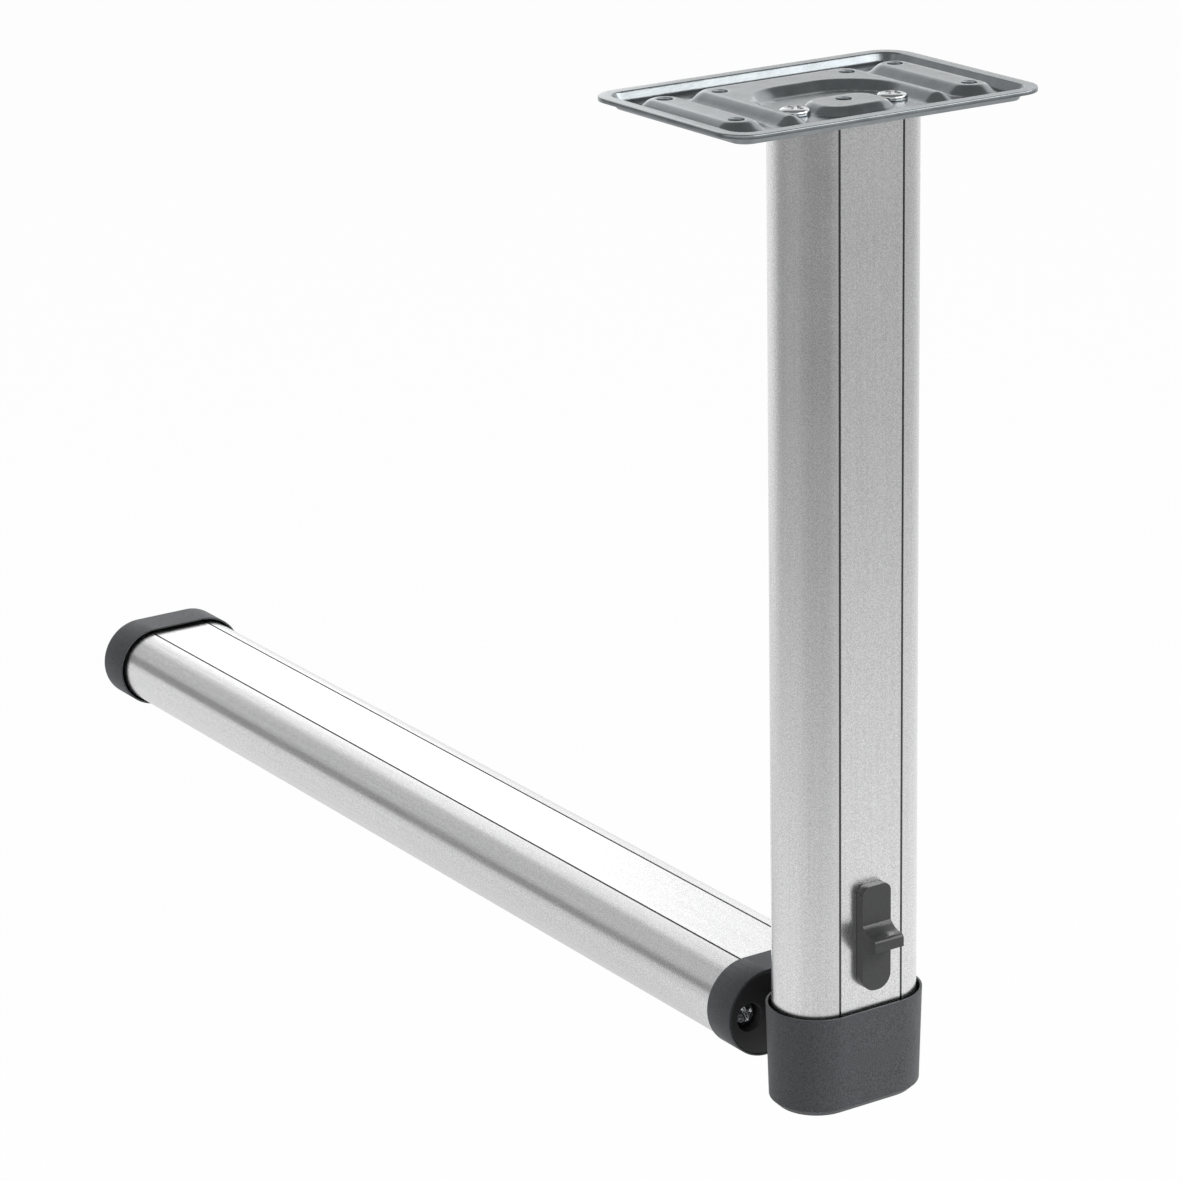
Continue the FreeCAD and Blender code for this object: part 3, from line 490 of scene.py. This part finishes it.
def weigh_edges(piece, axis, limit, above, share):
    """Bevel weights by place: 1 on sharp edges past the limit along an axis, a share elsewhere."""
    tree = bpy.data.node_groups.new(piece.name + "_weights", "GeometryNodeTree")
    for in_out in ("INPUT", "OUTPUT"):
        tree.interface.new_socket("Geometry", in_out=in_out, socket_type="NodeSocketGeometry")
    source = tree.nodes.new("NodeGroupInput")
    target = tree.nodes.new("NodeGroupOutput")
    place = tree.nodes.new("GeometryNodeInputPosition")
    split = tree.nodes.new("ShaderNodeSeparateXYZ")
    tree.links.new(place.outputs["Position"], split.inputs["Vector"])
    operation = "GREATER_THAN" if above else "LESS_THAN"
    switch = tree.nodes.new("GeometryNodeSwitch")
    switch.input_type = "FLOAT"
    switch.inputs["False"].default_value = share
    switch.inputs["True"].default_value = 1.0
    past = compared(tree, split.outputs[axis], operation, limit)
    tree.links.new(past, switch.inputs["Switch"])
    angle = tree.nodes.new("GeometryNodeInputMeshEdgeAngle")
    sharp = compared(tree, angle.outputs["Unsigned Angle"], "GREATER_THAN", WEIGHED_ANGLE)
    gate = tree.nodes.new("ShaderNodeMath")
    gate.operation = "MULTIPLY"
    tree.links.new(switch.outputs["Output"], gate.inputs[0])
    tree.links.new(sharp, gate.inputs[1])
    store = tree.nodes.new("GeometryNodeStoreNamedAttribute")
    store.data_type = "FLOAT"
    store.domain = "EDGE"
    store.inputs["Name"].default_value = "bevel_weight_edge"
    tree.links.new(source.outputs["Geometry"], store.inputs["Geometry"])
    tree.links.new(gate.outputs["Value"], store.inputs["Value"])
    tree.links.new(store.outputs["Geometry"], target.inputs["Geometry"])
    modifier = piece.modifiers.new("weights", "NODES")
    modifier.node_group = tree


def dress(node, material, width=0.0, segments=FEW_SEGMENTS, place=None):
    """Give a CAD node its material, a weld and, by modifiers only, softly rounded edges where a width
    is given.
    A place is (axis, limit, above, width there): edges past the limit get that width."""
    piece = NODES[node]
    piece.data.materials.clear()
    piece.data.materials.append(material)
    weld = piece.modifiers.new("weld", "WELD")
    weld.merge_threshold = WELD_GAP
    if place:
        axis, limit, above, large = place
        weigh_edges(piece, axis, limit, above, width / large)
    if width:
        bevel = piece.modifiers.new("bevel", "BEVEL")
        bevel.width = large if place else width
        bevel.segments = segments
        bevel.limit_method = "WEIGHT" if place else "ANGLE"
        bevel.angle_limit = EDGE_ANGLE
        bevel.harden_normals = True


def finished_piece(form, name, material, sharp):
    """A smooth piece from a bmesh, with its edges past an angle kept sharp."""
    for face in form.faces:
        face.smooth = True
    for edge in form.edges:
        if len(edge.link_faces) == 2 and edge.calc_face_angle() > sharp:
            edge.smooth = False
    mesh = bpy.data.meshes.new(name)
    form.to_mesh(mesh)
    form.free()
    mesh.materials.append(material)
    piece = bpy.data.objects.new(name, mesh)
    SCENE.collection.objects.link(piece)
    return piece


# Pressed plate

def box_distance(x, y, half_x, half_y, radius):
    """Distance from a rounded rectangle's edge, positive outside."""
    over_x = abs(x) - half_x + radius
    over_y = abs(y) - half_y + radius
    outside = math.hypot(max(over_x, 0.0), max(over_y, 0.0))
    return outside + min(max(over_x, over_y), 0.0) - radius


def soft_low(first, second, blend):
    """The lower of two heights, rounded where they meet."""
    share = max(blend - abs(first - second), 0.0) / blend
    return min(first, second) - share * share * blend / 4


def soft_high(first, second, blend):
    return -soft_low(-first, -second, blend)


def rim_distance(x, y):
    """Distance inwards from the plate's outline."""
    return -box_distance(x, y, PLATE_HALF_X, PLATE_HALF_Y, PLATE_CORNER)


def rib_distance(x, y):
    reach = max(abs(y) - RIB_HALF_LENGTH, 0.0)
    return math.hypot(abs(x) - RIB_OFFSET, reach) - RIB_HALF_WIDTH


def arch_distance(x, y):
    middle = (ARCH_BACK + ARCH_LEG_END) / 2
    half = (ARCH_BACK - ARCH_LEG_END) / 2
    if y < ARCH_LEG_END:
        leg_middle = ARCH_HALF_WIDTH - ARCH_LEG_WIDTH / 2
        return math.hypot(abs(x) - leg_middle, y - ARCH_LEG_END) - ARCH_LEG_WIDTH / 2
    outer = box_distance(x, y - middle, ARCH_HALF_WIDTH, half, ARCH_ROUND)
    if y < middle:
        outer = abs(x) - ARCH_HALF_WIDTH
    opening_half = ARCH_HALF_WIDTH - ARCH_LEG_WIDTH
    below = 2 * abs(ARCH_LEG_END) + ARCH_CREST
    opening = box_distance(x, y - ARCH_CREST + below / 2, opening_half, below / 2, ARCH_CORNER)
    return max(outer, -opening)


def island_distance(x, y):
    centre = COLUMN_AXIS.y / MM + (ISLAND_BACK - ISLAND_FRONT) / 2
    half = (ISLAND_BACK + ISLAND_FRONT) / 2
    return box_distance(x, y - centre, ISLAND_HALF_WIDTH, half, ISLAND_BACK)


def hole_places():
    column = COLUMN_AXIS.y / MM
    places = [(0.0, column)]
    for side in (-1, 1):
        places.append((side * INNER_HOLE_X, INNER_HOLE_Y))
        places.append((side * SCREW_OFFSET, column))
        for end in (-1, 1):
            places.append((side * RIB_OFFSET, end * RIB_HALF_LENGTH))
    return places


def hole_distance(x, y, holes):
    return min(math.hypot(x - a, y - b) for a, b in holes) - HOLE_RADIUS


def edge_drop(distance, radius):
    """How far a rounded edge falls, at a distance inwards from it."""
    if distance >= radius:
        return 0.0
    return radius - math.sqrt(max(radius * radius - (radius - distance) ** 2, 0.0))


def form_height(crest, distance):
    """Height of a pressed-up form: a soft crest whose side steepens down to the pan."""
    share = (distance + CREST_INSET) / FORM_RUN
    if share < 0.0:
        return crest
    if share < 1.0:
        return crest - PAN_DEPTH * share ** FORM_POWER
    return crest - PAN_DEPTH * (1.0 + FORM_POWER * (share - 1.0))


def pressed_height(x, y):
    """Height of the plate's top face: lip, pan, ribs, arch and island, with soft creases."""
    rim = rim_distance(x, y)
    fall = PAN_DEPTH / PAN_SLOPE * (rim - LIP_WIDTH)
    if fall < PAN_DEPTH / 2:
        return min(soft_low(0.0, -fall, RIM_CREASE), 0.0)
    height = soft_high(-PAN_DEPTH, -fall, RIM_CREASE)
    forms = (
        (rib_distance(x, y), 0.0, SOFT_FOOT),
        (arch_distance(x, y), 0.0, SOFT_FOOT),
        (island_distance(x, y), -ISLAND_DROP, CRISP_FOOT),
    )
    for distance, crest, foot in forms:
        height = soft_high(height, form_height(crest, distance), foot)
    return min(height, 0.0)


def hole_ring(centre_x, centre_y, radius):
    turns = [2 * math.pi * index / HOLE_SIDES for index in range(HOLE_SIDES)]
    return [(centre_x + radius * math.cos(a), centre_y + radius * math.sin(a)) for a in turns]


def outline_ring(inset):
    """Points along the plate's outline, moved inwards."""
    radius = PLATE_CORNER - inset
    corners = []
    for quarter, (side_x, side_y) in enumerate(((1, 1), (-1, 1), (-1, -1), (1, -1))):
        centre_x = side_x * (PLATE_HALF_X - PLATE_CORNER)
        centre_y = side_y * (PLATE_HALF_Y - PLATE_CORNER)
        corner = []
        for step in range(CORNER_STEPS + 1):
            turn = quarter * math.pi / 2 + step / CORNER_STEPS * math.pi / 2
            corner.append((centre_x + radius * math.cos(turn), centre_y + radius * math.sin(turn)))
        corners.append(corner)
    points = []
    for corner, following in zip(corners, corners[1:] + corners[:1]):
        first, last = corner[-1], following[0]
        points += corner
        steps = round(math.dist(first, last) / OUTLINE_STEP)
        for step in range(1, steps):
            share = step / steps
            x = first[0] + (last[0] - first[0]) * share
            y = first[1] + (last[1] - first[1]) * share
            points.append((x, y))
    return points


def plate_rings(holes):
    """Closed rings of plan points along the plate's edge, wall and holes."""
    insets = list(EDGE_RINGS)
    insets += [LIP_WIDTH + past for past in LIP_RINGS]
    insets += [LIP_WIDTH + PAN_SLOPE + past for past in WALL_RINGS]
    rings = [outline_ring(inset) for inset in insets]
    for x, y in holes:
        rings += [hole_ring(x, y, HOLE_RADIUS + past) for past in HOLE_RINGS]
    return rings


def clear_of_rings(x, y, holes):
    rim = rim_distance(x, y)
    if rim < PLATE_EDGE + EDGE_CLEAR:
        return False
    if abs(rim - LIP_WIDTH - PAN_SLOPE / 2) < PAN_SLOPE / 2 + WALL_CLEAR:
        return False
    return hole_distance(x, y, holes) >= HOLE_CLEAR


def near_crease(x, y):
    """Whether a point lies by a crease, where the grid is fine."""
    distances = (rib_distance(x, y), arch_distance(x, y), island_distance(x, y))
    return any(-CREASE_INSIDE < distance < PAN_DEPTH + CREASE_OUTSIDE for distance in distances)


def plate_grid(holes):
    """Plan points of the plate between its rings."""
    points = []
    for column in range(int(2 * PLATE_HALF_X / FINE_STEP)):
        for row in range(int(2 * PLATE_HALF_Y / FINE_STEP)):
            x = -PLATE_HALF_X + (column + 0.5) * FINE_STEP
            y = -PLATE_HALF_Y + (row + 0.5) * FINE_STEP
            coarse = column % COARSE_STEPS == 0 and row % COARSE_STEPS == 0
            if clear_of_rings(x, y, holes) and (coarse or near_crease(x, y)):
                points.append((x, y))
    return points


def plate_plan(holes):
    """The plate's plan as points and faces, with every ring kept as edges."""
    points = []
    edges = []
    for loop in plate_rings(holes):
        start = len(points)
        points += loop
        edges += [(start + i, start + (i + 1) % len(loop)) for i in range(len(loop))]
    flat = [Vector(point) for point in points + plate_grid(holes)]
    plan = delaunay_2d_cdt(flat, edges, [], 0, POINT_GAP)
    return plan[0], plan[2]


def pressed_plate(material):
    """The mounting plate as pressed sheet, with the real one's soft creases and rounded edges."""
    holes = hole_places()
    places, faces = plate_plan(holes)
    form = bmesh.new()
    tops = []
    lows = []
    for place in places:
        level = pressed_height(place.x, place.y)
        height = level - edge_drop(rim_distance(place.x, place.y), PLATE_EDGE)
        height -= edge_drop(hole_distance(place.x, place.y, holes), HOLE_EDGE)
        tops.append(form.verts.new((place.x * MM, place.y * MM, height * MM)))
        lows.append(form.verts.new((place.x * MM, place.y * MM, (level - SHEET) * MM)))
    borders = {}
    for face in faces:
        centre = sum((places[i] for i in face), Vector((0.0, 0.0))) / len(face)
        if hole_distance(centre.x, centre.y, holes) < -HOLE_MARGIN:
            continue
        form.faces.new([tops[i] for i in face])
        form.faces.new([lows[i] for i in reversed(face)])
        for first, second in zip(face, face[1:] + face[:1]):
            if borders.pop((second, first), None) is None:
                borders[(first, second)] = True
    for first, second in borders:
        form.faces.new((tops[second], tops[first], lows[first], lows[second]))
    loose = [vertex for vertex in form.verts if not vertex.link_faces]
    bmesh.ops.delete(form, geom=loose, context="VERTS")
    plate = finished_piece(form, "pressed_plate", material, PLATE_SHARP)
    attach(plate, "upper_leg")
    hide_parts("mounting_plate")


# Pan-head screws

def recess_drop(x, y):
    """Depth of the cross recess at a place on the head, with soft sides, all in mm."""
    arm = min(abs(x), abs(y)) - RECESS_HALF_WIDTH
    reach = max(abs(x), abs(y)) - RECESS_REACH
    edge = max(arm, reach * RECESS_END)
    share = min(max(0.5 - edge / RECESS_SOFT, 0.0), 1.0)
    slope = 1.0 - RECESS_TAPER * min(max(abs(x), abs(y)) / RECESS_REACH, 1.0)
    return RECESS_DEPTH * share * share * (3 - 2 * share) * slope


def pan_profile(radius, head, length):
    """Rings (radius, height, domed) of a screw, from the dome's top to the shank's end."""
    profile = []
    for index in range(1, DOME_RINGS + 1):
        share = index / DOME_RINGS
        turn = share * math.pi / 2
        dome = head * (1.0 - DOME_FALL * (1.0 - math.cos(turn)) ** DOME_POWER)
        profile.append((radius * math.sin(turn), dome - head * BROW_FALL * share ** BROW_POWER, True))
    profile.append((radius, head * HEAD_RIM, False))
    profile.append((radius * HEAD_FOOT, 0.0, False))
    profile.append((SHANK_RADIUS * MM, 0.0, False))
    profile.append((SHANK_RADIUS * MM, -length, False))
    return profile


def pan_form(radius, head, length):
    """Mesh of a domed pan head with a cross recess and a plain shank, its seat at z = 0."""
    form = bmesh.new()
    top = form.verts.new((0.0, 0.0, head - recess_drop(0.0, 0.0) * MM))
    rings = []
    for reach, height, domed in pan_profile(radius, head, length):
        circle = []
        for step in range(SCREW_SIDES):
            turn = 2 * math.pi * step / SCREW_SIDES
            x = reach * math.cos(turn)
            y = reach * math.sin(turn)
            drop = recess_drop(x / MM, y / MM) * MM if domed else 0.0
            circle.append(form.verts.new((x, y, height - drop)))
        rings.append(circle)
    for step in range(SCREW_SIDES):
        following = (step + 1) % SCREW_SIDES
        form.faces.new((top, rings[0][step], rings[0][following]))
        for inner, outer in zip(rings, rings[1:]):
            form.faces.new((inner[step], outer[step], outer[following], inner[following]))
    form.faces.new(list(reversed(rings[-1])))
    return form


def pan_head(node, axis, turn, body, material):
    """Screw in the place of a CAD one that lies along an axis, turned about X from upright."""
    low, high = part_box(node)
    head = HEAD_HEIGHT * MM
    radius = (high.x - low.x) / 2 / math.cos(HEAD_HALF_SIDE)
    form = pan_form(radius, head, (high - low)[axis] - head)
    piece = finished_piece(form, node + "_pan", material, SCREW_SHARP)
    seat = (low + high) / 2
    seat[axis] = low[axis] + head if turn else high[axis] - head
    tilt = Matrix.Rotation(turn, 4, "X")
    piece.matrix_world = Matrix.Translation(seat) @ tilt @ Matrix.Rotation(RECESS_TURN, 4, "Z")
    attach(piece, body)
    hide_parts(node)


# Stage

def light_path_factor(tree):
    """1 for what the camera, a reflection or a transparent surface sees."""
    path = tree.nodes.new("ShaderNodeLightPath")
    total = path.outputs["Is Camera Ray"]
    for name in ("Is Glossy Ray", "Is Transmission Ray"):
        add = tree.nodes.new("ShaderNodeMath")
        add.operation = "ADD"
        add.use_clamp = True
        tree.links.new(total, add.inputs[0])
        tree.links.new(path.outputs[name], add.inputs[1])
        total = add.outputs["Value"]
    return total


def make_world():
    """Soft light for the object, plain white for the camera and for reflections."""
    world = bpy.data.worlds.new("studio")
    SCENE.world = world
    world.use_nodes = True
    tree = world.node_tree
    tree.nodes.clear()
    soft = tree.nodes.new("ShaderNodeBackground")
    soft.inputs["Color"].default_value = SOFT_COLOUR
    soft.inputs["Strength"].default_value = SOFT_STRENGTH
    white = tree.nodes.new("ShaderNodeBackground")
    white.inputs["Color"].default_value = (1.0, 1.0, 1.0, 1.0)
    white.inputs["Strength"].default_value = 1.0
    mix = tree.nodes.new("ShaderNodeMixShader")
    output = tree.nodes.new("ShaderNodeOutputWorld")
    tree.links.new(light_path_factor(tree), mix.inputs["Fac"])
    tree.links.new(soft.outputs["Background"], mix.inputs[1])
    tree.links.new(white.outputs["Background"], mix.inputs[2])
    tree.links.new(mix.outputs["Shader"], output.inputs["Surface"])


def stage_square(name, half):
    """Flat square of the stage, with a plain material of its own, and that material's nodes."""
    mesh = bpy.data.meshes.new(name)
    form = bmesh.new()
    bmesh.ops.create_grid(form, x_segments=1, y_segments=1, size=half)
    form.to_mesh(mesh)
    form.free()
    square = bpy.data.objects.new(name, mesh)
    SCENE.collection.objects.link(square)
    material = bpy.data.materials.new(name)
    material.use_nodes = True
    mesh.materials.append(material)
    return square, material.node_tree


def only_reflected(square, tree):
    """Make a stage square a plain glow that only reflections see. Gives its emission node."""
    tree.nodes.clear()
    glow = tree.nodes.new("ShaderNodeEmission")
    output = tree.nodes.new("ShaderNodeOutputMaterial")
    tree.links.new(glow.outputs["Emission"], output.inputs["Surface"])
    square.visible_camera = False
    square.visible_diffuse = False
    square.visible_shadow = False
    return glow


def make_floor():
    """White floor that takes the object's shadow."""
    floor, tree = stage_square("floor", STAGE_REACH)
    floor.location.z = FLOOR
    shader = tree.nodes["Principled BSDF"]
    shader.inputs["Base Color"].default_value = FLOOR_COLOUR
    shader.inputs["Roughness"].default_value = FLOOR_ROUGHNESS
    shader.inputs["Specular IOR Level"].default_value = FLOOR_SPECULAR
    glow = tree.nodes.new("ShaderNodeEmission")
    mix = tree.nodes.new("ShaderNodeMixShader")
    share = tree.nodes.new("ShaderNodeMath")
    share.operation = "MULTIPLY"
    share.inputs[1].default_value = FLOOR_WHITE_SHARE
    tree.links.new(light_path_factor(tree), share.inputs[0])
    tree.links.new(share.outputs["Value"], mix.inputs["Fac"])
    tree.links.new(shader.outputs["BSDF"], mix.inputs[1])
    tree.links.new(glow.outputs["Emission"], mix.inputs[2])
    output = next(node for node in tree.nodes if node.type == "OUTPUT_MATERIAL")
    tree.links.new(mix.outputs["Shader"], output.inputs["Surface"])


def mapped(tree, source, start, stop):
    """A number between start and stop mapped onto 0 to 1."""
    node = tree.nodes.new("ShaderNodeMapRange")
    node.inputs["From Min"].default_value = start
    node.inputs["From Max"].default_value = stop
    tree.links.new(source, node.inputs["Value"])
    return node.outputs["Result"]


def low_tone(tree):
    """Tone of the low plane, by the distance and the direction from the object."""
    coordinates = tree.nodes.new("ShaderNodeTexCoord")
    length = tree.nodes.new("ShaderNodeVectorMath")
    length.operation = "LENGTH"
    tree.links.new(coordinates.outputs["Object"], length.inputs[0])
    to_right = (math.cos(YAW), -math.sin(YAW), 0.0)
    to_camera = (-math.sin(YAW), -math.cos(YAW), 0.0)
    turn = tree.nodes.new("ShaderNodeMath")
    turn.operation = "ARCTAN2"
    for socket, heading in zip(turn.inputs, (to_right, to_camera)):
        part = tree.nodes.new("ShaderNodeVectorMath")
        part.operation = "DOT_PRODUCT"
        tree.links.new(coordinates.outputs["Object"], part.inputs[0])
        part.inputs[1].default_value = heading
        tree.links.new(part.outputs["Value"], socket)
    share = mapped(tree, turn.outputs["Value"], -math.pi, math.pi)
    mix = tree.nodes.new("ShaderNodeMix")
    mix.data_type = "RGBA"
    reach = mapped(tree, length.outputs["Value"], TONES_NEAR, TONES_FAR)
    tree.links.new(reach, mix.inputs["Factor"])
    for column, name in ((1, "A"), (2, "B")):
        ramp = tree.nodes.new("ShaderNodeValToRGB")
        stops = ramp.color_ramp.elements
        while len(stops) < len(LOW_TONES):
            stops.new(0.5)
        for stop, row in zip(stops, LOW_TONES):
            stop.position = row[0]
            stop.color = (row[column], row[column], row[column], 1.0)
        tree.links.new(share, ramp.inputs["Fac"])
        tree.links.new(ramp.outputs["Color"], mix.inputs[name])
    return mix.outputs["Result"]


def make_low_card():
    """Toned plane level with the column's bottom, seen only in reflections."""
    plane, tree = stage_square("low_card", STAGE_REACH)
    plane.location.z = CAP_BOTTOM
    glow = only_reflected(plane, tree)
    tree.links.new(low_tone(tree), glow.inputs["Color"])


def make_lamp(name, place, size, watts):
    """Square area lamp aimed at the object and left out of reflections."""
    data = bpy.data.lights.new(name, "AREA")
    data.shape = "RECTANGLE"
    data.size = size
    data.size_y = size
    data.energy = watts
    lamp = bpy.data.objects.new(name, data)
    lamp.visible_glossy = False
    SCENE.collection.objects.link(lamp)
    facing = (LAMP_AIM - Vector(place)).normalized().to_track_quat("-Z", "Y")
    lamp.matrix_world = Matrix.Translation(place) @ facing.to_matrix().to_4x4()


def make_card(name, azimuth, elevation, distance, width, height, tone):
    """Flat studio card round the object, facing it and seen only in reflections."""
    turn, rise = math.radians(azimuth), math.radians(elevation)
    flat = math.cos(rise)
    away = Vector((math.sin(turn) * flat, math.cos(turn) * flat, math.sin(rise)))
    square, tree = stage_square(name, 0.5)
    facing = (-away).to_track_quat("Z", "Y").to_matrix().to_4x4()
    size = Matrix.Diagonal((width, height, 1.0, 1.0))
    square.matrix_world = Matrix.Translation(CARD_AIM + away * distance) @ facing @ size
    glow = only_reflected(square, tree)
    glow.inputs["Strength"].default_value = tone


def make_stage():
    make_world()
    make_floor()
    make_low_card()
    for row in LAMPS:
        make_lamp(*row)
    for row in CARDS:
        make_card(*row)


def dress_all(materials):
    cap_end = ("Z", CAP_BOTTOM + CAP_END_DEPTH, False, CAP_END_EDGE)
    foot_end = ("Y", FOOT_END - CAP_END_DEPTH, True, CAP_END_EDGE)
    dress("upper_tube", materials["column"])
    dress("lower_tube", materials["lower"])
    pressed_plate(materials["plate"])
    dress("plate_gasket", materials["black"])
    dress("upper_cap", materials["column_cap"], MOULDED_EDGE, CAP_SEGMENTS, cap_end)
    dress("foot_cap", materials["leg_cap"], MOULDED_EDGE, CAP_SEGMENTS, foot_end)
    dress("lower_collar", materials["slate"], MOULDED_EDGE)
    dress("hinge_tongue", materials["black"], KNUCKLE_EDGE)
    dress("hinge_block", materials["black"], KNUCKLE_EDGE)
    dress("lock_bolt", materials["steel"], MOULDED_EDGE)
    dress("return_spring", materials["steel"])
    dress("hinge_pin", materials["steel"])
    dress("hinge_bush", materials["bush"])
    dress("slider_button", materials["slider"], BUTTON_EDGE, BUTTON_SEGMENTS)
    for side in ("left", "right"):
        pan_head(f"plate_screw_{side}", 2, 0.0, "upper_leg", materials["screw"])
        pan_head(f"cap_screw_{side}", 2, math.pi, "upper_leg", materials["screw"])
        pan_head(f"tongue_screw_{side}", 1, math.pi / 2, "lower_leg", materials["screw"])


make_camera()
make_stage()
dress_all(make_materials())

SCENE.view_settings.view_transform = "Standard"
